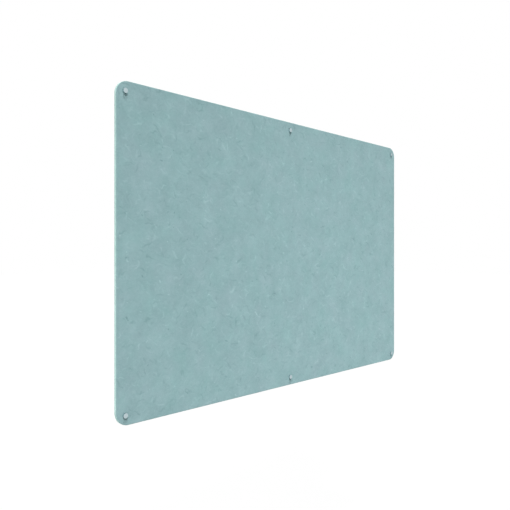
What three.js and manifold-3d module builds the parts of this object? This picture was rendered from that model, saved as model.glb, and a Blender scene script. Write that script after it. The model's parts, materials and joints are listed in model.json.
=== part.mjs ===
// A frameless felt pinboard, held to a wall by six round fixings with screw-on caps.
// Millimetres, +Z up. The origin is the middle of the panel's back face, which lies on the wall.
// +X runs along the board's width, from left to right as a reader sees it, and the board faces -Y.

import * as THREE from "three";
import { mergeVertices } from "three/addons/utils/BufferGeometryUtils.js";
import Module from "manifold-3d";

// Panel
const boardWidth = 1800;
const boardHeight = 1200;
const boardThickness = 10;
const boardCornerRadius = 50;

// Where the fixings stand: their axes are this far in from the panel's edges
const fixingInset = 36;

// Plain felt between the fixings' holes, or the corners' arcs, and the block in the panel's middle
const rimLand = 50;

// Play between pieces that fit in or over each other
const fitGap = 0.3;

// Countersunk wood screw with a cross recess
const screwShankRadius = 2;
const screwLength = 45;
const screwPointLength = 6;
const screwHeadRadius = 3.9;
const screwHeadHeight = 1.9;
const screwHeadEdge = 0.3;
const recessSpan = 4.4;
const recessWidth = 1.1;
const recessDepth = 1.1;

// Spacer sleeve, which keeps the felt from being crushed
const sleeveWall = 1.7;

// Wall plug behind the panel
const plugLength = 30;
const plugWall = 1.2;
const plugLipThickness = 0.8;
const plugNeckLength = 8;
const plugSlotWidth = 1;

// Base: a flange with a threaded boss, which the screw clamps to the panel
const baseFloor = 1;
const headSink = 0.2;
const bossWall = 1.15;
const flangeThickness = 0.8;
const flangeLip = 1.7;

// Thread between boss and cap, right-handed
const threadPitch = 1;
const threadDepth = 0.65;
const threadRootWidth = 0.5;
const threadCrestWidth = 0.25;
const threadRunout = 0.1;
const threadRootSink = 0.2;
const capThreadTurns = 1.25;

// Washer under the cap's crown
const washerThickness = 0.5;
const washerPlay = 0.2;

// Cap
const capCrownThickness = 2.2;
const capSkirtWall = 1;
const capEdgeRadius = 0.5;

// How finely round shapes are cut
const cornerSegments = 10;
const capSegments = 28;
const ringSegments = 20;
const edgeSegments = 3;

// Cutting tools reach past what they cut by this much
const overrun = 1;

// Vertices closer than this are one vertex
const mergeDistance = 1e-4;

const half = 1 / 2;
const turn = Math.PI * 2;
const quarterTurn = turn / 4;

// Radii of a fixing, worked outwards from the screw
const shankHoleRadius = screwShankRadius + fitGap;
const sleeveRadius = shankHoleRadius + sleeveWall;
const panelHoleRadius = sleeveRadius + fitGap;
const plugRadius = shankHoleRadius + plugWall;
const headHoleRadius = screwHeadRadius + fitGap;
const bossRadius = headHoleRadius + bossWall;
const bossCrestRadius = bossRadius + threadDepth;
const flangeRadius = bossCrestRadius + flangeLip;
const capBoreRadius = bossCrestRadius + fitGap;
const capCounterboreRadius = flangeRadius + fitGap;
const capRadius = capCounterboreRadius + capSkirtWall;

const rimWidth = Math.max(fixingInset + panelHoleRadius, boardCornerRadius) + rimLand;

// Heights of a fixing, measured out of the panel's front face
const screwSeatHeight = baseFloor;
const screwTopHeight = screwSeatHeight + screwHeadHeight;
const bossHeight = screwTopHeight + headSink;
const washerTopHeight = bossHeight + washerThickness;
const capRimHeight = fitGap;
const capStepHeight = flangeThickness + fitGap;
const capCeilingHeight = washerTopHeight + washerPlay;
const capTopHeight = capCeilingHeight + capCrownThickness;
const wallHeight = -boardThickness;

// Each thread's ridge keeps its middle this far from the faces above and below it
const threadMargin = threadRunout + threadRootWidth * half;

function finish(color, roughness, metalness) {
  return new THREE.MeshStandardMaterial({ color, roughness, metalness, flatShading: true });
}

const feltMaterial = finish("#93b4b7", 0.95, 0);
const capMaterial = finish("#c3ccd0", 0.35, 1);
const baseMaterial = finish("#b9bcbe", 0.4, 1);
const screwMaterial = finish("#aeb0b2", 0.3, 1);
const nylonMaterial = finish("#e4e3dc", 0.6, 0);
const plugMaterial = finish("#8d9296", 0.6, 0);

const wasm = await Module();
wasm.setup();

// A closed geometry as a solid that can be cut and joined. Faces that collapse on an axis are dropped.
function solidOf(geometry) {
  const bare = geometry.clone();
  bare.deleteAttribute("normal");
  bare.deleteAttribute("uv");
  const merged = mergeVertices(bare, mergeDistance);
  const corners = merged.index.array;
  const kept = [];
  for (let i = 0; i < corners.length; i += 3) {
    const [a, b, c] = corners.slice(i, i + 3);
    if (a !== b && b !== c && c !== a) {
      kept.push(a, b, c);
    }
  }
  const mesh = new wasm.Mesh({
    numProp: 3,
    vertProperties: merged.attributes.position.array,
    triVerts: Uint32Array.from(kept),
  });
  return new wasm.Manifold(mesh);
}

function geometryOf(solid) {
  const mesh = solid.getMesh();
  const geometry = new THREE.BufferGeometry();
  geometry.setAttribute("position", new THREE.BufferAttribute(mesh.vertProperties, 3));
  geometry.setIndex(new THREE.BufferAttribute(mesh.triVerts, 1));
  geometry.computeVertexNormals();
  return geometry;
}

// A turned piece on a fixing's axis. Its outline is pairs of radius and height out of the panel's face,
// listed up the outside and down the inside. Height runs against Y, so the points are taken in reverse.
function turned(outline, segments) {
  const points = outline.map(([radius, height]) => new THREE.Vector2(radius, -height)).reverse();
  return new THREE.LatheGeometry(points, segments);
}

// The centre line of a thread, which climbs one pitch a turn out of the panel's face.
class ThreadLine extends THREE.Curve {
  constructor(radius, height, turns, startAngle) {
    super();
    this.radius = radius;
    this.height = height;
    this.turns = turns;
    this.startAngle = startAngle;
  }

  angleAt(share) {
    return this.startAngle + turn * this.turns * share;
  }

  getPoint(share, target = new THREE.Vector3()) {
    const angle = this.angleAt(share);
    const height = this.height + threadPitch * this.turns * share;
    return target.set(this.radius * Math.cos(angle), -height, this.radius * Math.sin(angle));
  }

  // The section stays upright, with its first axis along the radius and its second along the fixing.
  computeFrenetFrames(steps) {
    const frames = { tangents: [], normals: [], binormals: [] };
    for (let i = 0; i <= steps; i += 1) {
      const angle = this.angleAt(i / steps);
      frames.tangents.push(new THREE.Vector3(-Math.sin(angle), 0, Math.cos(angle)));
      frames.normals.push(new THREE.Vector3(Math.cos(angle), 0, Math.sin(angle)));
      frames.binormals.push(new THREE.Vector3(0, 1, 0));
    }
    return frames;
  }
}

// A thread's ridge on a round wall, from one facet edge of the wall to another. It stands outward from
// a boss or inward from a bore, and it starts at a height and a share of a turn.
function threadRidge(wallRadius, outward, height, startTurn, turns, segments) {
  const rootX = -outward * threadRootSink;
  const crestX = outward * threadDepth;
  const rootHalf = threadRootWidth * half;
  const crestHalf = threadCrestWidth * half;
  const section = new THREE.Shape([
    new THREE.Vector2(rootX, -rootHalf),
    new THREE.Vector2(crestX, -crestHalf),
    new THREE.Vector2(crestX, crestHalf),
    new THREE.Vector2(rootX, rootHalf),
  ]);
  const steps = Math.round(turns * segments);
  const line = new ThreadLine(wallRadius, height, turns, turn * startTurn);
  return new THREE.ExtrudeGeometry(section, { steps, extrudePath: line });
}

// The most turns in whole facets between two heights
function turnsBetween(low, high, segments) {
  return Math.floor(((high - low) / threadPitch) * segments) / segments;
}

function roundedRectangle(width, height, radius) {
  const x = width * half - radius;
  const y = height * half - radius;
  const shape = new THREE.Shape();
  shape.absarc(x, y, radius, 0, quarterTurn);
  shape.absarc(-x, y, radius, quarterTurn, quarterTurn * 2);
  shape.absarc(-x, -y, radius, quarterTurn * 2, quarterTurn * 3);
  shape.absarc(x, -y, radius, quarterTurn * 3, turn);
  shape.closePath();
  return shape;
}

// Felt panel: a slab with rounded corners and a hole for each fixing. Its rim and the plain block in its
// middle are joined as one solid, so that the middle of each face is whole, with facets that reach no hole.
function feltPanel(places) {
  const blockWidth = boardWidth - rimWidth * 2;
  const blockHeight = boardHeight - rimWidth * 2;
  const block = new THREE.BoxGeometry(blockWidth, boardThickness, blockHeight);
  block.translate(0, wallHeight * half, 0);

  const shape = roundedRectangle(boardWidth, boardHeight, boardCornerRadius);
  const corners = [[-half, -half], [-half, half], [half, half], [half, -half]];
  const middle = corners.map(([x, z]) => new THREE.Vector2(x * blockWidth, z * blockHeight));
  shape.holes.push(new THREE.Path(middle));
  for (const { x, z } of places) {
    const hole = new THREE.Path();
    hole.absarc(x, z, panelHoleRadius, 0, turn, true);
    shape.holes.push(hole);
  }
  const settings = { depth: boardThickness, bevelEnabled: false, curveSegments: cornerSegments };
  const rim = new THREE.ExtrudeGeometry(shape, settings).rotateX(quarterTurn);
  return geometryOf(solidOf(rim).add(solidOf(block)));
}

function spacerSleeve() {
  const outline = [
    [shankHoleRadius, wallHeight],
    [sleeveRadius, wallHeight],
    [sleeveRadius, 0],
    [shankHoleRadius, 0],
    [shankHoleRadius, wallHeight],
  ];
  return turned(outline, ringSegments);
}

// Wall plug: a tube with a lip at the wall's face, split behind its neck so that it can spread
function wallPlug() {
  const endHeight = wallHeight - plugLength;
  const outline = [
    [shankHoleRadius, endHeight],
    [plugRadius, endHeight],
    [plugRadius, wallHeight - plugLipThickness],
    [sleeveRadius, wallHeight - plugLipThickness],
    [sleeveRadius, wallHeight],
    [shankHoleRadius, wallHeight],
    [shankHoleRadius, endHeight],
  ];
  const slotLength = plugLength - plugNeckLength + overrun;
  const slot = new THREE.BoxGeometry((plugRadius + overrun) * 2, slotLength, plugSlotWidth);
  slot.translate(0, -(endHeight - overrun + slotLength * half), 0);
  return geometryOf(solidOf(turned(outline, ringSegments)).subtract(solidOf(slot)));
}

function countersunkScrew() {
  const tipHeight = screwTopHeight - screwLength;
  const outline = [
    [0, tipHeight],
    [screwShankRadius, tipHeight + screwPointLength],
    [screwShankRadius, screwSeatHeight],
    [screwHeadRadius, screwTopHeight - screwHeadEdge],
    [screwHeadRadius, screwTopHeight],
    [0, screwTopHeight],
  ];
  let screw = solidOf(turned(outline, ringSegments));
  const cutDepth = recessDepth + overrun;
  for (const angle of [0, quarterTurn]) {
    const slot = new THREE.BoxGeometry(recessSpan, cutDepth, recessWidth);
    slot.rotateY(angle).translate(0, -(screwTopHeight - recessDepth + cutDepth * half), 0);
    screw = screw.subtract(solidOf(slot));
  }
  return geometryOf(screw);
}

const bossThreadHeight = flangeThickness + threadMargin;

function threadedBase() {
  const outline = [
    [shankHoleRadius, 0],
    [flangeRadius, 0],
    [flangeRadius, flangeThickness],
    [bossRadius, flangeThickness],
    [bossRadius, bossHeight],
    [headHoleRadius, bossHeight],
    [headHoleRadius, screwTopHeight - screwHeadEdge],
    [shankHoleRadius, screwSeatHeight],
    [shankHoleRadius, 0],
  ];
  const turns = turnsBetween(bossThreadHeight, bossHeight - threadMargin, ringSegments);
  const ridge = threadRidge(bossRadius, 1, bossThreadHeight, 0, turns, ringSegments);
  return geometryOf(solidOf(turned(outline, ringSegments)).add(solidOf(ridge)));
}

// A soft ring that the boss's end bears on when the cap is tight
function capWasher() {
  const outline = [
    [headHoleRadius, bossHeight],
    [bossRadius, bossHeight],
    [bossRadius, washerTopHeight],
    [headHoleRadius, washerTopHeight],
    [headHoleRadius, bossHeight],
  ];
  return turned(outline, ringSegments);
}

// Cap: a cup with a rounded edge, a step that clears the flange and a thread that runs between the turns
// of the boss's thread
function screwOnCap() {
  const edge = [];
  for (let i = 0; i <= edgeSegments; i += 1) {
    const angle = (quarterTurn * i) / edgeSegments;
    edge.push([
      capRadius - capEdgeRadius * (1 - Math.cos(angle)),
      capTopHeight - capEdgeRadius * (1 - Math.sin(angle)),
    ]);
  }
  const outline = [
    [0, capCeilingHeight],
    [capBoreRadius, capCeilingHeight],
    [capBoreRadius, capStepHeight],
    [capCounterboreRadius, capStepHeight],
    [capCounterboreRadius, capRimHeight],
    [capRadius, capRimHeight],
    ...edge,
    [0, capTopHeight],
  ];
  // The cap's ridge lies half a pitch from the boss's, at the first facet edge that leaves it its margin.
  const leastTurn = (capStepHeight + threadMargin - bossThreadHeight) / threadPitch - half;
  const startTurn = Math.ceil(leastTurn * capSegments) / capSegments;
  const height = bossThreadHeight + threadPitch * (startTurn + half);
  const room = turnsBetween(height, capCeilingHeight - threadMargin, capSegments);
  const turns = Math.min(capThreadTurns, room);
  const ridge = threadRidge(capBoreRadius, -1, height, startTurn, turns, capSegments);
  return geometryOf(solidOf(turned(outline, capSegments)).add(solidOf(ridge)));
}

// The fixings' places on the panel: two rows of three, named as a reader sees them
const reachX = boardWidth * half - fixingInset;
const reachZ = boardHeight * half - fixingInset;
const places = [
  { name: "top_left", x: -reachX, z: reachZ },
  { name: "top_middle", x: 0, z: reachZ },
  { name: "top_right", x: reachX, z: reachZ },
  { name: "bottom_left", x: -reachX, z: -reachZ },
  { name: "bottom_middle", x: 0, z: -reachZ },
  { name: "bottom_right", x: reachX, z: -reachZ },
];

// The pieces of one fixing, from the wall outwards
const fixingPieces = [
  { name: "wall_plug", geometry: wallPlug(), material: plugMaterial },
  { name: "spacer_sleeve", geometry: spacerSleeve(), material: nylonMaterial },
  { name: "screw", geometry: countersunkScrew(), material: screwMaterial },
  { name: "threaded_base", geometry: threadedBase(), material: baseMaterial },
  { name: "cap_washer", geometry: capWasher(), material: nylonMaterial },
  { name: "cap", geometry: screwOnCap(), material: capMaterial },
];

const pinboard = new THREE.Group();

const panel = new THREE.Mesh(feltPanel(places), feltMaterial);
panel.name = "felt_panel";
pinboard.add(panel);

for (const place of places) {
  const fixing = new THREE.Group();
  fixing.position.set(place.x, wallHeight, place.z);
  for (const piece of fixingPieces) {
    const mesh = new THREE.Mesh(piece.geometry, piece.material);
    mesh.name = `${piece.name}_${place.name}`;
    fixing.add(mesh);
  }
  pinboard.add(fixing);
}

export default pinboard;
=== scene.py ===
import json
import math

import bmesh
import bpy
import numpy as np
from mathutils import Matrix, Vector, noise

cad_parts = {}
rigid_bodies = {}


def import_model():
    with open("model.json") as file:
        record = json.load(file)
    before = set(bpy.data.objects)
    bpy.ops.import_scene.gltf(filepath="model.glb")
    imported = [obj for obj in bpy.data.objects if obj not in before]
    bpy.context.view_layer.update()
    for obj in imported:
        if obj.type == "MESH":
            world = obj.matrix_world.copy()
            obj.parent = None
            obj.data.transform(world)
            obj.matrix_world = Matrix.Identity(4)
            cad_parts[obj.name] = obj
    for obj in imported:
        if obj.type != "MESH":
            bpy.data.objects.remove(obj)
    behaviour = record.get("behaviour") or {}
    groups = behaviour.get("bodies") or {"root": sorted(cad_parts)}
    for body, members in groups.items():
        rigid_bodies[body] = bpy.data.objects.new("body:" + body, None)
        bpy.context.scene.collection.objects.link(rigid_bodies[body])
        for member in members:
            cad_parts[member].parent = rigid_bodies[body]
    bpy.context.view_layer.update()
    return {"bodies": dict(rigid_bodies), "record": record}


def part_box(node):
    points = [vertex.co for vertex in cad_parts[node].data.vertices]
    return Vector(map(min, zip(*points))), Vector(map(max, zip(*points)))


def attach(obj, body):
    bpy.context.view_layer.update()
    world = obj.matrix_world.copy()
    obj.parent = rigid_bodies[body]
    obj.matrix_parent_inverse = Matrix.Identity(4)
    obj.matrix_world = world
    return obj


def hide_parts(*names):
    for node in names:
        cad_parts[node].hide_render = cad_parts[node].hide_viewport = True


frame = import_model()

# Metres throughout. The board faces -Y, and its back face lies on the wall at y = 0.
MM = 0.001
TURN = 2 * math.pi
QUARTER = 0.25

# Photograph: a square frame, a level camera that looks along the line between +X and +Y
LENS_MM = 39.01
SENSOR_MM = 36.0
CAMERA_PLACE = (-1.900, -1.688, -0.006)
CAMERA_AZIMUTH = math.radians(-45)
PICTURE_SHIFT = (-0.0013, -0.0003)

# Floor: how far it reaches and how far under the board's middle it lies. To the eye it is nearly plain white,
# and it throws back less light than it shows.
FLOOR_REACH = 40.0
HANGING_HEIGHT = 1.5
FLOOR_WHITE_SHARE = 0.96
FLOOR_GREY = (0.22, 0.22, 0.22, 1)
FLOOR_PALE = (0.9, 0.9, 0.9, 1)

# World: how strongly it lights, beside the plain white that it shows
WORLD_LIGHT = 0.19

# Suns: name, where the light comes from, its strength and how many degrees wide it is
SUNS = (
    ("steep_light", (-0.05, -0.25, 0.965), 2.1, 7),
    ("key_light", (-0.28, -0.50, 0.81), 2.2, 12),
    ("back_light", (0.20, 0.85, 0.35), 1.5, 40),
)

# Softboxes: name, place, the point that they face, their width and their watts
SOFTBOXES = (
    ("left_light", (-3.6, 0.0, -0.75), (-0.9, 0.0, 0.0), 1.2, 54),
    ("front_light", (0.5, -2.0, -0.4), (0.1, 0.0, 0.0), 1.4, 8.2),
)

# Panel: its box, from the frame, and the radius of its corners
PANEL_LOW, PANEL_HIGH = (Vector(corner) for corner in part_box("felt_panel"))
FRONT_Y = PANEL_LOW.y
BACK_Y = PANEL_HIGH.y
CORNER_RADIUS = 50 * MM

# Felt's mesh: coarse steps, fine ones near the fixings and the corners, the digits of its places, the rows
# round its edge, the angle from which an edge stays sharp, and the slots of its two materials
COARSE_STEP = 14 * MM
FINE_STEP = 3 * MM
FINE_REACH = 24 * MM
PLACE_DIGITS = 9
RIM_STEP = 3.6 * MM
CORNER_STEPS = 14
ARRIS_RADIUS = 1.1 * MM
ARRIS_STEPS = 4
SIDE_STEPS = 4
FELT_SHARP_DEGREES = 50
FACE, CUT = 0, 1

# Felt's form: how proud its face stands, the seats that it sinks to, and the waves of its face, its back and
# its cut edge, each layer a wavelength and a height
LOFT = 0.35 * MM
SEAT_REACH = 8 * MM
SEAT_SLOPE = 6 * MM
LOFT_WAVES = ((95 * MM, 0.16 * MM), (31 * MM, 0.07 * MM), (11 * MM, 0.035 * MM))
BACK_WAVES = ((70 * MM, 0.1 * MM),)
CUT_WAVES = ((60 * MM, 0.14 * MM), (9 * MM, 0.08 * MM))
LOFT_SEED = 4.0
BACK_SEED = 9.0
CUT_SEED = 13.0
SEED_SHIFT = (1.0, 2.7, -1.3)

# Felt's holes: their drills stand at a slight turn, so that no side of a drill lies on an edge of the mesh,
# and reach this many thicknesses inwards and one less outwards
DRILL_SIDES = 48
DRILL_SPIN = 0.037
DRILL_REACH = 1.5

# Felt's clouds and mottle: their size, how far they move its shade, and the kind of noise
CLOUD_SIZE = 90 * MM
CLOUD_STRENGTH = 0.31
CLOUD_DETAIL = 3.0
CLOUD_ROUGHNESS = 0.7
MOTTLE_SIZE = 20 * MM
MOTTLE_STRENGTH = 0.13
MOTTLE_SWIRL = 1.6

# Felt's tufts: the size of the cell that each lies in, its half length and half width, its strength, and how
# few stand out. A tuft is at full strength over its core, and bends by its curl.
TUFTS = (
    (50 * MM, 24 * MM, 5.4 * MM, 0.14, 1.5),
    (38 * MM, 18 * MM, 4.8 * MM, 0.14, 1.5),
    (27 * MM, 13 * MM, 4.0 * MM, 0.10, 1.5),
    (11 * MM, 5.0 * MM, 0.6 * MM, 0.04, 1),
    (6 * MM, 2.8 * MM, 0.3 * MM, 0.04, 1),
)
TUFT_SHIFT = (0.31, 0.17)
TUFT_CORE = 0.1
TUFT_CURL = 60.0

# Felt's single fibres wind over all of it: the size of their loops, their half width as a share of that size,
# and how much paler or darker they are. A fibre is at full strength over its core.
FIBRES = (
    (9.0 * MM, 0.012, 0.10),
    (7.0 * MM, 0.012, -0.09),
    (4.6 * MM, 0.016, 0.08),
    (3.4 * MM, 0.018, -0.07),
)
FIBRE_CORE = 0.3
FIBRE_SWIRL = 0.8

# Felt's grain follows one slow swirl, is drawn out along the board, and crosses the cut edge at a slant
SWIRL_SCALE = 38.0
SWIRL_REACH = 0.022
CARDING = (0.72, 1.0, 1.0)
CUT_SLANT = (0.83, -1.21)

# Felt's lone specks: cells to a metre, a speck's core and reach as shares of its cell, the share of cells
# with a dark one and of those with a pale one, and how much darker or paler they are
SPECK_SCALE = 48.0
SPECK_CORE = 0.04
SPECK_REACH = 0.17
SPECK_SHARE = 0.03
DARK_SPECK = -0.24
PALE_SPECK = 0.20

# Felt's hue drifts between two, each made by shares of its red, green and blue. Its shade moves the red most.
HUE_SCALE = 7.0
HUE_DETAIL = 4.0
HUE_ROUGHNESS = 0.75
HUE_PLACE = (5, 3, 1)
LESS_RED = (0.95, 1.003, 0.985)
MORE_RED = (1.05, 0.997, 1.015)
SHADE_RANGE = (1.22, 1.0, 0.98)

# Felt's bump: how strong and deep it is, and how far fuzz, tufts, single fibres and clouds raise it
FELT_BUMP_STRENGTH = 0.5
FELT_BUMP_DEPTH = 0.25 * MM
FUZZ_SCALE = 900.0
FUZZ_HEIGHT = 0.3
TUFT_HEIGHT = 0.6
FIBRE_HEIGHT = 1.5
CLOUD_HEIGHT = 1.5

# Felt's shine
FELT_ROUGHNESS = 0.95
FELT_SPECULAR = 0.15
SHEEN_WEIGHT = 0.12
SHEEN_ROUGHNESS = 0.6
SHEEN_TINT = (0.75, 0.9, 0.92, 1)

# Metal: the shades between which its turning rings and its smudges move it, and its rubbed rim
RING_SHADES = (0.91, 1.05)
SMUDGE_SCALE = 260.0
SMUDGE_SHADES = (0.96, 1.03)
RUBBED_WIDTH = 0.4 * MM
RUBBED_SHADE = 0.07

# Plastic: the shades of its clouds, and its grain
PLASTIC_CLOUD_SCALE = 150.0
PLASTIC_SHADES = (0.93, 1.04)
GRAIN_SCALE = 2500.0

# Bump of metal and plastic: how deep their fine marks are, and how strong their rings and their grain
FINE_BUMP_DEPTH = 0.02 * MM
RING_BUMP_STRENGTH = 0.25
GRAIN_BUMP_STRENGTH = 0.3

# Noise: nearly all of it lies between these two values, and that of the rings between the wider two
NOISE_SPREAD = (0.3, 0.7)
RING_SPREAD = (0.25, 0.75)

# Fixings, from the frame: the names of their places and the thread's pitch
PLACES = [name.removeprefix("cap_") for name in frame["bodies"] if name.startswith("cap_")]
PITCH = frame["record"]["behaviour"]["couplings"][0]["ratio"] * TURN

# Fixings: sizes inside the pieces, which their boxes don't give
SHANK_HOLE_RADIUS = 2.3 * MM
HEAD_HOLE_RADIUS = 4.2 * MM
SEAT_HEIGHT = 1.0 * MM
HEAD_TOP_HEIGHT = 2.9 * MM
HEAD_EDGE = 0.3 * MM
FLANGE_THICKNESS = 0.8 * MM
CAP_CEILING = 3.8 * MM
FIT_GAP = 0.3 * MM

# Thread of cap and base: how far its ridge stands off the wall, its width at the root and at the crest, where
# it starts, the turns over which it fades in and out, the rows of its mesh, and how long it runs in the cap
THREAD_DEPTH = 0.65 * MM
THREAD_ROOT = 0.5 * MM
THREAD_CREST = 0.25 * MM
THREAD_START = 1.15 * MM
THREAD_FADE = 0.12
THREAD_ROW_STEP = 0.07 * MM
CAP_THREAD_TURNS = 1.25

# Screw: its shank and the core under its thread, its point, the plain neck under its seat, and its thread
SHANK_RADIUS = 2.0 * MM
SHANK_SHARE = 0.9
CORE_RADIUS = 1.45 * MM
POINT_LENGTH = 6 * MM
NECK_LENGTH = 8 * MM
NECK_SLOPE = 1 * MM
SCREW_PITCH = 1.8 * MM
SCREW_THREAD_START = 0.6 * MM
SCREW_THREAD_ROOT = 0.95 * MM
SCREW_THREAD_CREST = 0.12 * MM
SCREW_THREAD_FADE = 2.0
SCREW_ROW_STEP = 0.24 * MM

# Screw's cross recess: its slots widen to so many times their size at the mouth
RECESS_REACH = 1.1 * MM
RECESS_WIDTH = 0.95 * MM
RECESS_DEPTH = 1.5 * MM
RECESS_MOUTH = 2.0

# Plug: its lip, its barbs, the plain collar in front of them and the split behind it
PLUG_RADIUS = 3.5 * MM
PLUG_LIP = 0.8 * MM
PLUG_END_DRAFT = 0.5 * MM
BARBS = 9
BARB_START = 1.5 * MM
BARB_PITCH = 2.2 * MM
BARB_CREST = 0.5 * MM
BARB_FOOT = 0.55 * MM
BARB_DEPTH = 0.45 * MM
COLLAR_DEPTH = 0.2 * MM
COLLAR_LENGTH = 8 * MM
SPLIT_WIDTH = 1.0 * MM

# Fillets, from a deburred edge to the cap's soft face
FINE_FILLET = 0.1 * MM
SMALL_FILLET = 0.12 * MM
BOSS_FILLET = 0.15 * MM
CAP_RIM_FILLET = 0.18 * MM
SOFT_FILLET = 0.2 * MM
PLUG_END_FILLET = 0.3 * MM
CAP_FACE_FILLET = 0.55 * MM

# Meshes of the pieces: sides of the round ones, steps of a fillet, how many fillets away the points beside it
# are, the angle from which an edge stays sharp, the radius under which a point is on the axis, how far a cut
# runs past a piece, and the distance at which points are one
CAP_SIDES = 96
BASE_SIDES = 72
WASHER_SIDES = 64
SLEEVE_SIDES = 48
SCREW_SIDES = 28
PLUG_SIDES = 40
FILLET_STEPS = 4
PLUG_FILLET_STEPS = 3
SUPPORT = 1.2
SHARP_DEGREES = 35
ON_AXIS = 1e-9
OVERRUN = 0.4 * MM
WELD = 0.001 * MM

# A mix node's sockets for colours, by their order, because its sockets for numbers have the same names
MIX_ONE = 6
MIX_TWO = 7
MIX_RESULT = 2


# Colours

def srgb(red, green, blue):
    """A colour as Blender wants it, from the 0 to 255 values of a picture."""
    shares = [value / 255 for value in (red, green, blue)]
    return tuple(s / 12.92 if s <= 0.04045 else ((s + 0.055) / 1.055) ** 2.4 for s in shares) + (1.0,)


FELT_COLOUR = srgb(148, 181, 184)
# The cut edge: the felt's own colour, painted lighter and a little greener all round as painted light for the
# light that its sides catch
FELT_EDGE_PAINTED_LIGHTER = srgb(168, 200, 195)
CAP_COLOUR = srgb(189, 206, 210)
BASE_COLOUR = srgb(178, 181, 184)
SCREW_COLOUR = srgb(170, 173, 178)
METAL_RIM_TINT = srgb(120, 130, 134)
NYLON_COLOUR = srgb(228, 226, 218)
PLUG_COLOUR = srgb(138, 143, 148)


# Meshes

def smoothstep(low, high, value):
    share = min(max((value - low) / (high - low), 0.0), 1.0)
    return share * share * (3 - 2 * share)


def waves(point, layers, seed):
    """Smooth noise in metres, summed over layers of (wavelength, height)."""
    shift = Vector([part * seed for part in SEED_SHIFT])
    return sum(height * noise.noise(point / length + shift) for length, height in layers)


def object_from(name, vertices, faces, materials, place=(0, 0, 0), indices=None, sharp=SHARP_DEGREES):
    """A smooth-shaded object whose edges over so many degrees stay sharp."""
    mesh = bpy.data.meshes.new(name)
    mesh.from_pydata([tuple(v) for v in vertices], [], [tuple(int(i) for i in f) for f in faces])
    for material in materials:
        mesh.materials.append(material)
    if indices is not None:
        mesh.polygons.foreach_set("material_index", indices)
    mesh.polygons.foreach_set("use_smooth", [True] * len(mesh.polygons))
    mesh.validate()
    mesh.set_sharp_from_angle(angle=math.radians(sharp))
    made = bpy.data.objects.new(name, mesh)
    made.location = place
    bpy.context.scene.collection.objects.link(made)
    return made


def cut(made, cutters):
    """Takes the cutters out of an object for good, and deletes them."""
    for cutter in cutters:
        modifier = made.modifiers.new("cut", "BOOLEAN")
        modifier.operation = "DIFFERENCE"
        modifier.solver = "EXACT"
        modifier.object = cutter
    bpy.context.view_layer.update()
    depsgraph = bpy.context.evaluated_depsgraph_get()
    mesh = bpy.data.meshes.new_from_object(made.evaluated_get(depsgraph))
    if not mesh.polygons:
        raise ValueError(f"{made.name} is empty after its cuts")
    clean = bmesh.new()
    clean.from_mesh(mesh)
    bmesh.ops.remove_doubles(clean, verts=clean.verts, dist=WELD)
    bmesh.ops.dissolve_degenerate(clean, dist=WELD, edges=clean.edges)
    clean.to_mesh(mesh)
    clean.free()
    made.modifiers.clear()
    old = made.data
    mesh.name = old.name
    made.data = mesh
    bpy.data.meshes.remove(old)
    for cutter in cutters:
        bpy.data.meshes.remove(cutter.data)
    return made


def filleted(corners, steps=FILLET_STEPS):
    """An outline of (radius, height) with each corner (radius, height, fillet) rounded by an arc-like curve.

    A point just before and after each curve keeps the flats beside it flat when they are shaded smooth.
    """
    points = []
    for i, corner in enumerate(corners):
        here = Vector(corner[:2])
        size = corner[2] if len(corner) > 2 else 0.0
        if not size:
            points.append(here)
            continue
        back = Vector(corners[i - 1][:2]) - here
        ahead = Vector(corners[(i + 1) % len(corners)][:2]) - here
        start = here + back.normalized() * size
        end = here + ahead.normalized() * size
        points.append(here + back.normalized() * size * SUPPORT)
        for step in range(steps + 1):
            share = step / steps
            points.append(start.lerp(here, share).lerp(here.lerp(end, share), share))
        points.append(here + ahead.normalized() * size * SUPPORT)
    return points


def stretch_from(outline, radius, height):
    """The index of the outline's point nearest to a radius and height, where a stretch starts."""
    start = Vector((radius, height))
    return min(range(len(outline)), key=lambda i: (outline[i] - start).length)


class Thread:
    """A helical ridge on a round wall: how far it stands off the wall at an angle and a height."""

    def __init__(self, start, turns, pitch, depth, root, crest, fade=THREAD_FADE):
        self.start = start
        self.turns = turns
        self.pitch = pitch
        self.depth = depth
        self.root = root
        self.crest = crest
        self.fade = fade

    def offset(self, angle, height):
        along = (height - self.start) / self.pitch
        turn = angle / TURN
        nearest = turn + round(along - turn)
        if not 0.0 <= nearest <= self.turns:
            return 0.0
        ends = smoothstep(0.0, self.fade, nearest) * smoothstep(0.0, self.fade, self.turns - nearest)
        aside = abs(along - nearest) * self.pitch
        rise = (self.root / 2 - aside) / (self.root / 2 - self.crest / 2)
        return self.depth * ends * min(max(rise, 0.0), 1.0)


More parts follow.
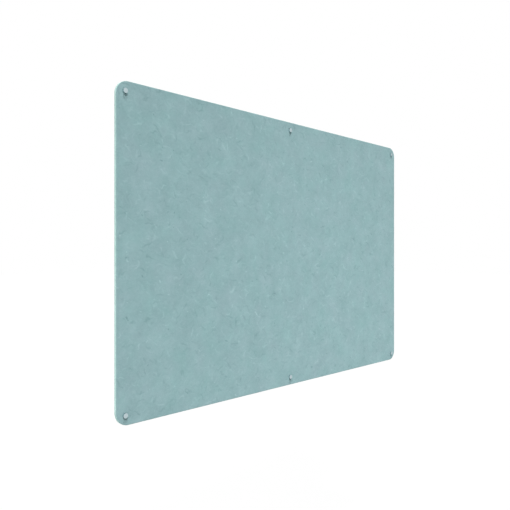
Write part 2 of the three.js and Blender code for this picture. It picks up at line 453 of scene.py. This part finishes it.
def turned(name, outline, sides, material, place, threads=(), row_step=THREAD_ROW_STEP):
    """A turned piece about a fixing's axis.

    Its outline of (radius, height) closes on itself or on the axis. Its threads are (index of the outline's
    stretch, Thread), and such a stretch is cut into rows and carries the thread.
    """
    rows = []
    walls = dict(threads)
    for i, point in enumerate(outline):
        rows.append((point, None))
        if i in walls:
            after = outline[(i + 1) % len(outline)]
            count = max(2, round((after - point).length / row_step))
            rows += [(point.lerp(after, k / count), walls[i]) for k in range(1, count)]
    vertices, rings = [], []
    for (radius, height), thread in rows:
        if radius < ON_AXIS:
            rings.append([len(vertices)] * sides)
            vertices.append((0.0, -height, 0.0))
            continue
        ring = []
        for step in range(sides):
            angle = TURN * step / sides
            wide = radius + (thread.offset(angle, height) if thread else 0.0)
            ring.append(len(vertices))
            vertices.append((wide * math.cos(angle), -height, wide * math.sin(angle)))
        rings.append(ring)
    closed = outline[0][0] >= ON_AXIS or outline[-1][0] >= ON_AXIS
    faces = []
    for i in range(len(rings) if closed else len(rings) - 1):
        one, two = rings[i], rings[(i + 1) % len(rings)]
        for step in range(sides):
            after = (step + 1) % sides
            face = list(dict.fromkeys([one[step], one[after], two[after], two[step]]))
            if len(face) > 2:
                faces.append(face)
    return object_from(name, vertices, faces, [material], place)


def box_object(name, half_x, half_z, low, high, place, spin=0.0, mouth=1.0):
    """A box for cutting along a fixing's axis, from a low height to a high one, spun about the axis.

    Its mouth, the high end, is so many times as wide.
    """
    vertices = []
    for x in (-half_x, half_x):
        for height, share in ((high, mouth), (low, 1.0)):
            for z in (-half_z, half_z):
                vertices.append(Matrix.Rotation(spin, 3, "Y") @ Vector((x * share, -height, z)))
    faces = [(0, 1, 3, 2), (4, 6, 7, 5), (0, 4, 5, 1), (2, 3, 7, 6), (0, 2, 6, 4), (1, 5, 7, 3)]
    return object_from(name, vertices, faces, [], place)


# Nodes

def new_material(name):
    material = bpy.data.materials.new(name)
    material.use_nodes = True
    material.node_tree.nodes.clear()
    return material


def add(tree, kind, inputs=None, **settings):
    """A node, with its settings and its inputs: a number, a colour or another node's output."""
    made = tree.nodes.new(kind)
    for key, value in settings.items():
        setattr(made, key, value)
    for key, value in (inputs or {}).items():
        if isinstance(value, bpy.types.NodeSocket):
            tree.links.new(value, made.inputs[key])
        else:
            made.inputs[key].default_value = value
    return made


def maths(tree, operation, *values):
    return add(tree, "ShaderNodeMath", dict(enumerate(values)), operation=operation).outputs[0]


def vector_maths(tree, operation, *values):
    return add(tree, "ShaderNodeVectorMath", dict(enumerate(values)), operation=operation).outputs[0]


def length_of(tree, vector):
    return add(tree, "ShaderNodeVectorMath", {0: vector}, operation="LENGTH").outputs["Value"]


def times(tree, vector, factor):
    inputs = {0: vector, "Scale": factor}
    return add(tree, "ShaderNodeVectorMath", inputs, operation="SCALE").outputs[0]


def joined(tree, x, y=0.0):
    return add(tree, "ShaderNodeCombineXYZ", {"X": x, "Y": y}).outputs[0]


def fitted(tree, value, low, high, to_low=0.0, to_high=1.0, kind="LINEAR"):
    inputs = {"Value": value, "From Min": low, "From Max": high, "To Min": to_low, "To Max": to_high}
    return add(tree, "ShaderNodeMapRange", inputs, interpolation_type=kind).outputs[0]


def noise_of(tree, vector, scale, detail, roughness, distortion=0.0):
    inputs = {"Vector": vector, "Scale": scale, "Detail": detail, "Roughness": roughness}
    inputs["Distortion"] = distortion
    return add(tree, "ShaderNodeTexNoise", inputs).outputs["Fac"]


def colour_mix(tree, share, one, two):
    inputs = {"Factor": share, MIX_ONE: one, MIX_TWO: two}
    return add(tree, "ShaderNodeMix", inputs, data_type="RGBA").outputs[MIX_RESULT]


def cells_of(tree, flat, scale):
    """Irregular cells that fill a plane: how far the nearest cell's middle is, where it is, and its dice."""
    inputs = {"Vector": flat, "Scale": scale, "Randomness": 1.0}
    return add(tree, "ShaderNodeTexVoronoi", inputs, voronoi_dimensions="2D").outputs


def dice_of(tree, cells):
    """Three random numbers from 0 to 1 for each cell."""
    return add(tree, "ShaderNodeSeparateColor", {"Color": cells["Color"]}).outputs


def centred(tree, value):
    """A noise or a die, from 0 to 1, moved so that its middle is 0."""
    return maths(tree, "SUBTRACT", value, 0.5)


def from_place(tree, vector, place):
    """A texture's place, counted from another point."""
    inputs = {"Vector": vector, "Location": place}
    return add(tree, "ShaderNodeMapping", inputs, vector_type="TEXTURE").outputs[0]


def total(tree, values):
    result = values[0]
    for value in values[1:]:
        result = maths(tree, "ADD", result, value)
    return result


def bumped(tree, height, strength, depth):
    inputs = {"Height": height, "Strength": strength, "Distance": depth}
    return add(tree, "ShaderNodeBump", inputs).outputs[0]


def show(tree, shader, kind="ShaderNodeOutputMaterial"):
    """Makes a shader what a material, or the world, shows."""
    add(tree, kind, {"Surface": shader})


def principled(tree, colour, **inputs):
    """Shows a surface of a colour. An input's name has _ for each space."""
    inputs = {key.replace("_", " "): value for key, value in inputs.items()}
    shader = add(tree, "ShaderNodeBsdfPrincipled", {"Base Color": colour, **inputs})
    show(tree, shader.outputs[0])


# Materials

def tufts_of(tree, flat, seed, cell, length, width, strength, rarity):
    """Tufts of paler and darker fibre, one to a cell, each turned its own way and bent a little."""
    shifted = vector_maths(tree, "ADD", flat, (TUFT_SHIFT[0] * seed, TUFT_SHIFT[1] * seed, 0))
    cells = cells_of(tree, shifted, 1 / cell)
    dice = dice_of(tree, cells)
    away = vector_maths(tree, "SUBTRACT", shifted, cells["Position"])
    inputs = {"Vector": away, "Angle": maths(tree, "MULTIPLY", dice[0], TURN)}
    turned_away = add(tree, "ShaderNodeVectorRotate", inputs, rotation_type="Z_AXIS").outputs[0]
    along, across, _ = add(tree, "ShaderNodeSeparateXYZ", {0: turned_away}).outputs
    curl = maths(tree, "MULTIPLY", centred(tree, dice[1]), TUFT_CURL)
    bow = maths(tree, "MULTIPLY", maths(tree, "MULTIPLY", along, along), curl)
    far_along = maths(tree, "DIVIDE", along, length)
    far_across = maths(tree, "DIVIDE", maths(tree, "ADD", across, bow), width)
    reach = length_of(tree, joined(tree, far_along, far_across))
    blob = fitted(tree, reach, TUFT_CORE, 1.0, strength, 0.0, "SMOOTHSTEP")
    signed = maths(tree, "MULTIPLY_ADD", dice[2], 2.0, -1.0)
    faint = maths(tree, "POWER", maths(tree, "ABSOLUTE", signed), rarity - 1.0)
    return maths(tree, "MULTIPLY", blob, maths(tree, "MULTIPLY", faint, signed))


def fibres_of(tree, place, seed, size, width, strength):
    """Thin winding fibres: the lines along which a noise is at its middle."""
    moved = from_place(tree, place, (seed, 2 * seed, 3 * seed))
    field = noise_of(tree, moved, 1 / size, detail=1.0, roughness=0.5, distortion=FIBRE_SWIRL)
    away = maths(tree, "ABSOLUTE", centred(tree, field))
    return fitted(tree, away, FIBRE_CORE * width, width, strength, 0.0, "SMOOTHSTEP")


def with_specks(tree, flat, shade):
    """A few specks of dark and pale fibre stand out alone."""
    cells = cells_of(tree, flat, SPECK_SCALE)
    die = dice_of(tree, cells)[0]
    spot = fitted(tree, cells["Distance"], SPECK_CORE, SPECK_REACH, 1.0, 0.0, "SMOOTHSTEP")
    dark_spot = maths(tree, "MULTIPLY", spot, maths(tree, "LESS_THAN", die, SPECK_SHARE))
    pale_spot = maths(tree, "MULTIPLY", spot, maths(tree, "GREATER_THAN", die, 1 - SPECK_SHARE))
    shade = maths(tree, "MULTIPLY_ADD", dark_spot, DARK_SPECK, shade)
    return maths(tree, "MULTIPLY_ADD", pale_spot, PALE_SPECK, shade)


def felt_hues(tree, place, colour):
    """The felt's colour, which drifts slowly to a little more or less red."""
    drift = noise_of(tree, from_place(tree, place, HUE_PLACE), HUE_SCALE, HUE_DETAIL, HUE_ROUGHNESS)
    ends = [(*(part * share for part, share in zip(colour, shares)), 1) for shares in (LESS_RED, MORE_RED)]
    return colour_mix(tree, fitted(tree, drift, *NOISE_SPREAD), *ends)


def felt_material(name, colour):
    """Needled fleece: cloudy at every scale, from a hand's width down to tufts, single fibres and fuzz."""
    material = new_material(name)
    tree = material.node_tree
    place = add(tree, "ShaderNodeTexCoord").outputs["Object"]

    # Tufts and mottle bend: all of them follow one slow swirl.
    swirl = add(tree, "ShaderNodeTexNoise", {"Vector": place, "Scale": SWIRL_SCALE, "Detail": 1.0})
    bend = vector_maths(tree, "SUBTRACT", swirl.outputs["Color"], (0.5, 0.5, 0.5))
    bent = vector_maths(tree, "MULTIPLY_ADD", bend, (SWIRL_REACH, SWIRL_REACH, SWIRL_REACH), place)
    bent = vector_maths(tree, "MULTIPLY", bent, CARDING)

    # The tufts lie in the face. On the cut edge they are slanted, so that they cross it.
    x, y, z = add(tree, "ShaderNodeSeparateXYZ", {0: bent}).outputs
    flat_x = maths(tree, "MULTIPLY_ADD", y, CUT_SLANT[0], x)
    flat_z = maths(tree, "MULTIPLY_ADD", y, CUT_SLANT[1], z)
    flat = joined(tree, flat_x, flat_z)

    clouds = centred(tree, noise_of(tree, place, 1 / CLOUD_SIZE, CLOUD_DETAIL, CLOUD_ROUGHNESS))
    tufts = total(tree, [tufts_of(tree, flat, i + 1, *numbers) for i, numbers in enumerate(TUFTS)])
    fibres = [fibres_of(tree, place, i + 1, *numbers) for i, numbers in enumerate(FIBRES)]
    raised = total(tree, [maths(tree, "ABSOLUTE", one) for one in fibres])
    mottle = noise_of(tree, bent, 1 / MOTTLE_SIZE, detail=1.0, roughness=0.5, distortion=MOTTLE_SWIRL)
    mottle = centred(tree, mottle)

    shade = maths(tree, "MULTIPLY_ADD", clouds, CLOUD_STRENGTH, 1.0)
    shade = maths(tree, "MULTIPLY_ADD", mottle, MOTTLE_STRENGTH, shade)
    shade = with_specks(tree, flat, total(tree, [shade, tufts, *fibres]))

    hues = felt_hues(tree, place, colour)
    swing = times(tree, SHADE_RANGE, maths(tree, "SUBTRACT", shade, 1.0))
    swing = vector_maths(tree, "ADD", swing, (1, 1, 1))
    shaded = vector_maths(tree, "MULTIPLY", hues, swing)

    fuzz = noise_of(tree, place, FUZZ_SCALE, detail=3.0, roughness=0.7)
    height = maths(tree, "MULTIPLY", fuzz, FUZZ_HEIGHT)
    height = maths(tree, "MULTIPLY_ADD", tufts, TUFT_HEIGHT, height)
    height = maths(tree, "MULTIPLY_ADD", raised, FIBRE_HEIGHT, height)
    height = maths(tree, "MULTIPLY_ADD", clouds, CLOUD_HEIGHT, height)
    bump = bumped(tree, height, FELT_BUMP_STRENGTH, FELT_BUMP_DEPTH)

    principled(
        tree, shaded, Roughness=FELT_ROUGHNESS, Specular_IOR_Level=FELT_SPECULAR, Sheen_Weight=SHEEN_WEIGHT,
        Sheen_Roughness=SHEEN_ROUGHNESS, Sheen_Tint=SHEEN_TINT, Normal=bump,
    )
    return material


def metal_material(name, colour, roughness, ring_scale, wear, rim):
    """Turned metal: rings about the piece's own axis from the cutting tool, and faint smudges.

    Its shine is a little worn, and outside the radius rim hands have rubbed its edge bright.
    """
    material = new_material(name)
    tree = material.node_tree
    place = add(tree, "ShaderNodeTexCoord").outputs["Object"]
    radius = length_of(tree, vector_maths(tree, "MULTIPLY", place, (1, 0, 1)))
    rings_at = joined(tree, maths(tree, "MULTIPLY", radius, ring_scale))
    rings = noise_of(tree, rings_at, 1.0, detail=3.0, roughness=0.7)
    smudges = noise_of(tree, place, SMUDGE_SCALE, detail=3.0, roughness=0.6)
    rubbed = fitted(tree, radius, rim, rim + RUBBED_WIDTH, kind="SMOOTHSTEP")
    rough = fitted(tree, smudges, *NOISE_SPREAD, roughness - wear, roughness + wear)
    rough = maths(tree, "MULTIPLY_ADD", rubbed, -wear, rough)
    shade = fitted(tree, rings, *RING_SPREAD, *RING_SHADES)
    shade = maths(tree, "MULTIPLY", shade, fitted(tree, smudges, *NOISE_SPREAD, *SMUDGE_SHADES))
    shade = maths(tree, "MULTIPLY_ADD", rubbed, RUBBED_SHADE, shade)
    bump = bumped(tree, rings, RING_BUMP_STRENGTH, FINE_BUMP_DEPTH)
    shaded = times(tree, colour[:3], shade)
    principled(tree, shaded, Metallic=1.0, Roughness=rough, Specular_Tint=METAL_RIM_TINT, Normal=bump)
    return material


def plastic_material(name, colour, roughness):
    """Moulded plastic: slightly cloudy, with a fine grain."""
    material = new_material(name)
    tree = material.node_tree
    place = add(tree, "ShaderNodeTexCoord").outputs["Object"]
    clouds = noise_of(tree, place, PLASTIC_CLOUD_SCALE, detail=3.0, roughness=0.6)
    shaded = times(tree, colour[:3], fitted(tree, clouds, *NOISE_SPREAD, *PLASTIC_SHADES))
    grain = noise_of(tree, place, GRAIN_SCALE, detail=2.0, roughness=0.5)
    bump = bumped(tree, grain, GRAIN_BUMP_STRENGTH, FINE_BUMP_DEPTH)
    principled(tree, shaded, Roughness=roughness, Normal=bump)
    return material


felt_face = felt_material("felt_face", FELT_COLOUR)
# The cut edge's felt is a copy of the face's felt, painted lighter: painted light on the sides of the board
felt_cut_painted_lighter = felt_material("felt_cut_painted_lighter", FELT_EDGE_PAINTED_LIGHTER)
cap_metal = metal_material(
    "satin_cap_metal", CAP_COLOUR, roughness=0.34, ring_scale=3000.0, wear=0.05, rim=8.3 * MM,
)
base_metal = metal_material(
    "turned_base_metal", BASE_COLOUR, roughness=0.38, ring_scale=4000.0, wear=0.06, rim=7.3 * MM,
)
screw_metal = metal_material(
    "zinc_screw_metal", SCREW_COLOUR, roughness=0.3, ring_scale=5000.0, wear=0.08, rim=3.6 * MM,
)
nylon = plastic_material("white_nylon", NYLON_COLOUR, roughness=0.5)
plug_plastic = plastic_material("grey_plug_plastic", PLUG_COLOUR, roughness=0.55)


# Where each fixing stands on the panel's front face

def fixing_place(place_name):
    low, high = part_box(f"cap_{place_name}")
    return Vector(((low[0] + high[0]) / 2, FRONT_Y, (low[2] + high[2]) / 2))


FIXINGS = {name: fixing_place(name) for name in PLACES}


# Felt panel

def spread(low, high, step):
    return list(np.linspace(low, high, max(1, round((high - low) / step)) + 1))


def grid_lines(reach, stops):
    """Places from -reach to +reach: coarse, but fine near each stop."""
    places = []
    edge = -reach
    for stop in stops:
        low, high = max(stop - FINE_REACH, -reach), min(stop + FINE_REACH, reach)
        if low > edge:
            places += spread(edge, low, COARSE_STEP)
        places += spread(low, high, FINE_STEP)
        edge = high
    if edge < reach:
        places += spread(edge, reach, COARSE_STEP)
    return sorted(set(round(place, PLACE_DIGITS) for place in places))


def felt_profile():
    """Rows of (offset past the inner rectangle, y, FACE or CUT), from the front face round to the back."""
    inner = CORNER_RADIUS - ARRIS_RADIUS
    rows = [(offset, FRONT_Y, FACE) for offset in spread(0.0, inner, RIM_STEP)]
    for step in range(1, ARRIS_STEPS + 1):
        angle = QUARTER * TURN * step / ARRIS_STEPS
        offset = inner + ARRIS_RADIUS * math.sin(angle)
        rows.append((offset, FRONT_Y + ARRIS_RADIUS * (1 - math.cos(angle)), CUT))
    for y in spread(FRONT_Y + ARRIS_RADIUS, BACK_Y - ARRIS_RADIUS, (BACK_Y - FRONT_Y) / SIDE_STEPS)[1:]:
        rows.append((CORNER_RADIUS, y, CUT))
    for step in range(1, ARRIS_STEPS + 1):
        angle = QUARTER * TURN * step / ARRIS_STEPS
        offset = inner + ARRIS_RADIUS * math.cos(angle)
        rows.append((offset, BACK_Y - ARRIS_RADIUS * (1 - math.sin(angle)), CUT))
    rows += [(offset, BACK_Y, FACE) for offset in reversed(spread(0.0, inner, RIM_STEP)[:-1])]
    return rows


def felt_stations(last_x, last_z):
    """The way round the inner rectangle: each grid place on it, and the direction that points outward there.

    The direction turns through a quarter at each corner, from the share of a turn that the corner starts at.
    """

    def corner(i, j, first_turn):
        angles = [TURN * (first_turn + QUARTER * step / CORNER_STEPS) for step in range(CORNER_STEPS + 1)]
        return [(i, j, math.cos(angle), math.sin(angle)) for angle in angles]

    return [
        *((i, 0, 0.0, -1.0) for i in range(1, last_x)),
        *corner(last_x, 0, 3 * QUARTER),
        *((last_x, j, 1.0, 0.0) for j in range(1, last_z)),
        *corner(last_x, last_z, 0.0),
        *((i, last_z, 0.0, 1.0) for i in range(last_x - 1, 0, -1)),
        *corner(0, last_z, QUARTER),
        *((0, j, -1.0, 0.0) for j in range(last_z - 1, 0, -1)),
        *corner(0, 0, 2 * QUARTER),
    ]


def distance_to_fixing(point):
    """How far a point is from the axis of the nearest fixing."""
    return min((Vector((point.x, 0, point.z)) - Vector((at.x, 0, at.z))).length for at in FIXINGS.values())


def felt_shape(point, outward):
    """Where a point of the plain slab goes.

    The face stands a little proud with a soft loft and sinks to its seat at each fixing. The back is dented
    a little, and the cut edge wavers.
    """
    moved = point.copy()
    if point.y < FRONT_Y + ARRIS_RADIUS:
        proud = 1 - math.exp(-(max(distance_to_fixing(point) - SEAT_REACH, 0.0) / SEAT_SLOPE) ** 2)
        depth = 1 - smoothstep(0.0, ARRIS_RADIUS, point.y - FRONT_Y)
        moved.y -= proud * depth * (LOFT + waves(point, LOFT_WAVES, LOFT_SEED))
    elif point.y > BACK_Y - ARRIS_RADIUS:
        moved.y -= abs(waves(point, BACK_WAVES, BACK_SEED))
    wander = waves(point, CUT_WAVES, CUT_SEED)
    moved.x += outward[0] * wander
    moved.z += outward[1] * wander
    return moved


def drill(name, at):
    """The round bar that a fixing's hole is cut with."""
    low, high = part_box(f"spacer_sleeve_{name}")
    radius = (high[0] - low[0]) / 2 + FIT_GAP
    thickness = BACK_Y - FRONT_Y
    inner, outer = -DRILL_REACH * thickness, (DRILL_REACH - 1) * thickness
    outline = [Vector(point) for point in ((0, inner), (radius, inner), (radius, outer), (0, outer))]
    made = turned(f"drill_{name}", outline, DRILL_SIDES, felt_cut_painted_lighter, at)
    made.rotation_euler.y = DRILL_SPIN
    return made


def felt_board():
    half_x = PANEL_HIGH.x - CORNER_RADIUS
    half_z = PANEL_HIGH.z - CORNER_RADIUS
    xs = grid_lines(half_x, (-half_x, 0.0, half_x))
    zs = grid_lines(half_z, (-half_z, half_z))
    last_x, last_z = len(xs) - 1, len(zs) - 1
    stations = felt_stations(last_x, last_z)
    vertices, faces, indices = [], [], []

    def face_grid(y, flip):
        start = len(vertices)
        for x in xs:
            for z in zs:
                vertices.append(felt_shape(Vector((x, y, z)), (0.0, 0.0)))
        wide = len(zs)
        for i in range(last_x):
            for j in range(last_z):
                a = start + i * wide + j
                quad = [a, a + wide, a + wide + 1, a + 1]
                faces.append(quad[::-1] if flip else quad)
                indices.append(FACE)
        return [start + i * wide + j for i, j, _, _ in stations]

    rings = [face_grid(FRONT_Y, False)]
    kinds = []
    for offset, y, kind in felt_profile()[1:-1]:
        ring = []
        for i, j, dx, dz in stations:
            share = offset / CORNER_RADIUS
            point = Vector((xs[i] + dx * offset, y, zs[j] + dz * offset))
            ring.append(len(vertices))
            vertices.append(felt_shape(point, (dx * share, dz * share)))
        rings.append(ring)
        kinds.append(kind)
    rings.append(face_grid(BACK_Y, True))
    kinds.append(FACE)
    for one, two, kind in zip(rings, rings[1:], kinds):
        for s in range(len(stations)):
            t = (s + 1) % len(stations)
            face = list(dict.fromkeys([one[s], two[s], two[t], one[t]]))
            if len(face) > 2:
                faces.append(face)
                indices.append(kind)
    materials = [felt_face, felt_cut_painted_lighter]
    board = object_from("felt_board", vertices, faces, materials, indices=indices, sharp=FELT_SHARP_DEGREES)
    return cut(board, [drill(name, at) for name, at in FIXINGS.items()])


# Pieces of a fixing. Heights run out of the panel's front face.

def sizes_of(piece, place_name):
    """A round piece's outer radius, lowest height and highest height, from the frame."""
    low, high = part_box(f"{piece}_{place_name}")
    return (high[0] - low[0]) / 2, FRONT_Y - high[1], FRONT_Y - low[1]


def cap(name, at):
    radius, rim, top = sizes_of("cap", name)
    flange = sizes_of("threaded_base", name)[0]
    boss = sizes_of("cap_washer", name)[0]
    bore = boss + THREAD_DEPTH + FIT_GAP
    recess = flange + FIT_GAP
    step = FLANGE_THICKNESS + FIT_GAP
    corners = [
        (0, CAP_CEILING), (bore, CAP_CEILING), (bore, step), (recess, step, SMALL_FILLET),
        (recess, rim, FINE_FILLET), (radius, rim, CAP_RIM_FILLET), (radius, top, CAP_FACE_FILLET), (0, top),
    ]
    outline = filleted(corners)
    wall = stretch_from(outline, bore, CAP_CEILING)
    start = THREAD_START + PITCH / 2
    ridge = Thread(start, CAP_THREAD_TURNS, PITCH, -THREAD_DEPTH, THREAD_ROOT, THREAD_CREST)
    return turned(f"screw_cap_{name}", outline, CAP_SIDES, cap_metal, at, [(wall, ridge)])


def threaded_base(name, at):
    flange, _, boss_top = sizes_of("threaded_base", name)
    boss = sizes_of("cap_washer", name)[0]
    corners = [
        (SHANK_HOLE_RADIUS, 0), (flange, 0, FINE_FILLET), (flange, FLANGE_THICKNESS, SOFT_FILLET),
        (boss, FLANGE_THICKNESS), (boss, boss_top, BOSS_FILLET), (HEAD_HOLE_RADIUS, boss_top, FINE_FILLET),
        (HEAD_HOLE_RADIUS, HEAD_TOP_HEIGHT - HEAD_EDGE), (SHANK_HOLE_RADIUS, SEAT_HEIGHT),
    ]
    outline = filleted(corners)
    wall = stretch_from(outline, boss, FLANGE_THICKNESS)
    turns = (boss_top - THREAD_START - THREAD_ROOT / 2) / PITCH
    ridge = Thread(THREAD_START, turns, PITCH, THREAD_DEPTH, THREAD_ROOT, THREAD_CREST)
    return turned(f"base_{name}", outline, BASE_SIDES, base_metal, at, [(wall, ridge)])


def tube_outline(bore, radius, low, high, fillet):
    corners = [(bore, low), (radius, low), (radius, high), (bore, high)]
    return filleted([(*corner, fillet) for corner in corners])


def washer(name, at):
    outline = tube_outline(HEAD_HOLE_RADIUS, *sizes_of("cap_washer", name), FINE_FILLET)
    return turned(f"soft_washer_{name}", outline, WASHER_SIDES, nylon, at)


def sleeve(name, at):
    outline = tube_outline(SHANK_HOLE_RADIUS, *sizes_of("spacer_sleeve", name), SOFT_FILLET)
    return turned(f"felt_sleeve_{name}", outline, SLEEVE_SIDES, nylon, at)


def screw(name, at):
    head, tip, top = sizes_of("screw", name)
    shank = SHANK_RADIUS * SHANK_SHARE
    neck = SEAT_HEIGHT - NECK_LENGTH
    corners = [
        (0, tip), (CORE_RADIUS, tip + POINT_LENGTH), (CORE_RADIUS, neck), (shank, neck + NECK_SLOPE),
        (shank, SEAT_HEIGHT), (head, top - HEAD_EDGE), (head, top, SMALL_FILLET), (0, top),
    ]
    start = tip + SCREW_THREAD_START
    turns = (neck - start) / SCREW_PITCH
    depth = SHANK_RADIUS - CORE_RADIUS
    ridge = Thread(
        start, turns, SCREW_PITCH, depth, SCREW_THREAD_ROOT, SCREW_THREAD_CREST, fade=SCREW_THREAD_FADE,
    )
    threads = [(0, ridge), (1, ridge)]
    made = turned(
        f"wood_screw_{name}", filleted(corners), SCREW_SIDES, screw_metal, at, threads, SCREW_ROW_STEP,
    )
    bottom, mouth = top - RECESS_DEPTH, top + OVERRUN
    slots = []
    for spin in (0.0, QUARTER * TURN):
        slot_sizes = (RECESS_REACH, RECESS_WIDTH / 2, bottom, mouth)
        slots.append(box_object(f"recess_{name}", *slot_sizes, at, spin, RECESS_MOUTH))
    return cut(made, slots)


def plug(name, at):
    lip, end, face = sizes_of("wall_plug", name)
    bore = SHANK_HOLE_RADIUS
    corners = [(bore, end, FINE_FILLET), (PLUG_RADIUS - PLUG_END_DRAFT, end, PLUG_END_FILLET)]
    height = end + BARB_START
    for _ in range(BARBS):
        corners.append((PLUG_RADIUS, height))
        corners.append((PLUG_RADIUS, height + BARB_CREST))
        corners.append((PLUG_RADIUS - BARB_DEPTH, height + BARB_FOOT))
        height += BARB_PITCH
    collar = PLUG_RADIUS - COLLAR_DEPTH
    corners += [
        (collar, height), (collar, face - PLUG_LIP),
        (lip, face - PLUG_LIP, FINE_FILLET), (lip, face, SOFT_FILLET), (bore, face, SOFT_FILLET),
    ]
    outline = filleted(corners, PLUG_FILLET_STEPS)
    made = turned(f"nylon_plug_{name}", outline, PLUG_SIDES, plug_plastic, at)
    split_sizes = (lip + OVERRUN, SPLIT_WIDTH / 2, end - OVERRUN, face - COLLAR_LENGTH)
    return cut(made, [box_object(f"split_{name}", *split_sizes, at)])


def finish_piece(made, body, node):
    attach(made, body)
    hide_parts(node)


# Camera
camera_data = bpy.data.cameras.new("camera")
camera_data.sensor_width = SENSOR_MM
camera_data.lens = LENS_MM
camera_data.shift_x, camera_data.shift_y = PICTURE_SHIFT
camera = bpy.data.objects.new("camera", camera_data)
camera.location = CAMERA_PLACE
camera.rotation_euler = (math.radians(90), 0, CAMERA_AZIMUTH)
bpy.context.scene.collection.objects.link(camera)
bpy.context.scene.camera = camera

# Board and fixings
finish_piece(felt_board(), "board", "felt_panel")
for place_name, centre in FIXINGS.items():
    finish_piece(cap(place_name, centre), f"cap_{place_name}", f"cap_{place_name}")
    finish_piece(washer(place_name, centre), f"washer_{place_name}", f"cap_washer_{place_name}")
    finish_piece(threaded_base(place_name, centre), "board", f"threaded_base_{place_name}")
    finish_piece(sleeve(place_name, centre), "board", f"spacer_sleeve_{place_name}")
    finish_piece(screw(place_name, centre), "board", f"screw_{place_name}")
    finish_piece(plug(place_name, centre), "board", f"wall_plug_{place_name}")


# Floor, light and background

def seen_by_eye(tree):
    """1 for rays that show things, straight, in a reflection or through glass, and 0 for the others."""
    path = add(tree, "ShaderNodeLightPath").outputs
    seen = maths(tree, "MAXIMUM", path["Is Camera Ray"], path["Is Glossy Ray"])
    return maths(tree, "MAXIMUM", seen, path["Is Transmission Ray"])


def make_floor():
    material = new_material("pale_floor")
    tree = material.node_tree
    seen = seen_by_eye(tree)
    grey = colour_mix(tree, seen, FLOOR_GREY, FLOOR_PALE)
    matt = add(tree, "ShaderNodeBsdfDiffuse", {"Color": grey}).outputs[0]
    white = add(tree, "ShaderNodeEmission", {"Color": (1, 1, 1, 1), "Strength": 1.0}).outputs[0]
    share = maths(tree, "MULTIPLY", seen, FLOOR_WHITE_SHARE)
    show(tree, add(tree, "ShaderNodeMixShader", {0: share, 1: matt, 2: white}).outputs[0])
    reach = FLOOR_REACH
    corners = [(-reach, -reach, 0), (reach, -reach, 0), (reach, reach, 0), (-reach, reach, 0)]
    floor = object_from("floor", corners, [(0, 1, 2, 3)], [material], (0, 0, -HANGING_HEIGHT))


def make_world():
    world = bpy.data.worlds.new("studio")
    bpy.context.scene.world = world
    world.use_nodes = True
    tree = world.node_tree
    tree.nodes.clear()
    strength = fitted(tree, seen_by_eye(tree), 0.0, 1.0, WORLD_LIGHT, 1.0)
    light = add(tree, "ShaderNodeBackground", {"Color": (1, 1, 1, 1), "Strength": strength})
    show(tree, light.outputs[0], "ShaderNodeOutputWorld")


def add_light(name, data, place, towards):
    """A light at a place that shines towards a direction, and that no reflection shows."""
    light = bpy.data.objects.new(name, data)
    light.location = place
    light.rotation_euler = Vector(towards).to_track_quat("-Z", "Y").to_euler()
    light.visible_glossy = False
    bpy.context.scene.collection.objects.link(light)


def add_softbox(name, place, target, width, watts):
    data = bpy.data.lights.new(name, "AREA")
    data.shape = "DISK"
    data.size = width
    data.energy = watts
    add_light(name, data, place, Vector(target) - Vector(place))


def add_sun(name, comes_from, strength, degrees):
    data = bpy.data.lights.new(name, "SUN")
    data.energy = strength
    data.angle = math.radians(degrees)
    add_light(name, data, (0, 0, 0), -Vector(comes_from))


make_floor()
make_world()
for sun in SUNS:
    add_sun(*sun)
for softbox in SOFTBOXES:
    add_softbox(*softbox)

scene = bpy.context.scene
scene.view_settings.view_transform = "Standard"
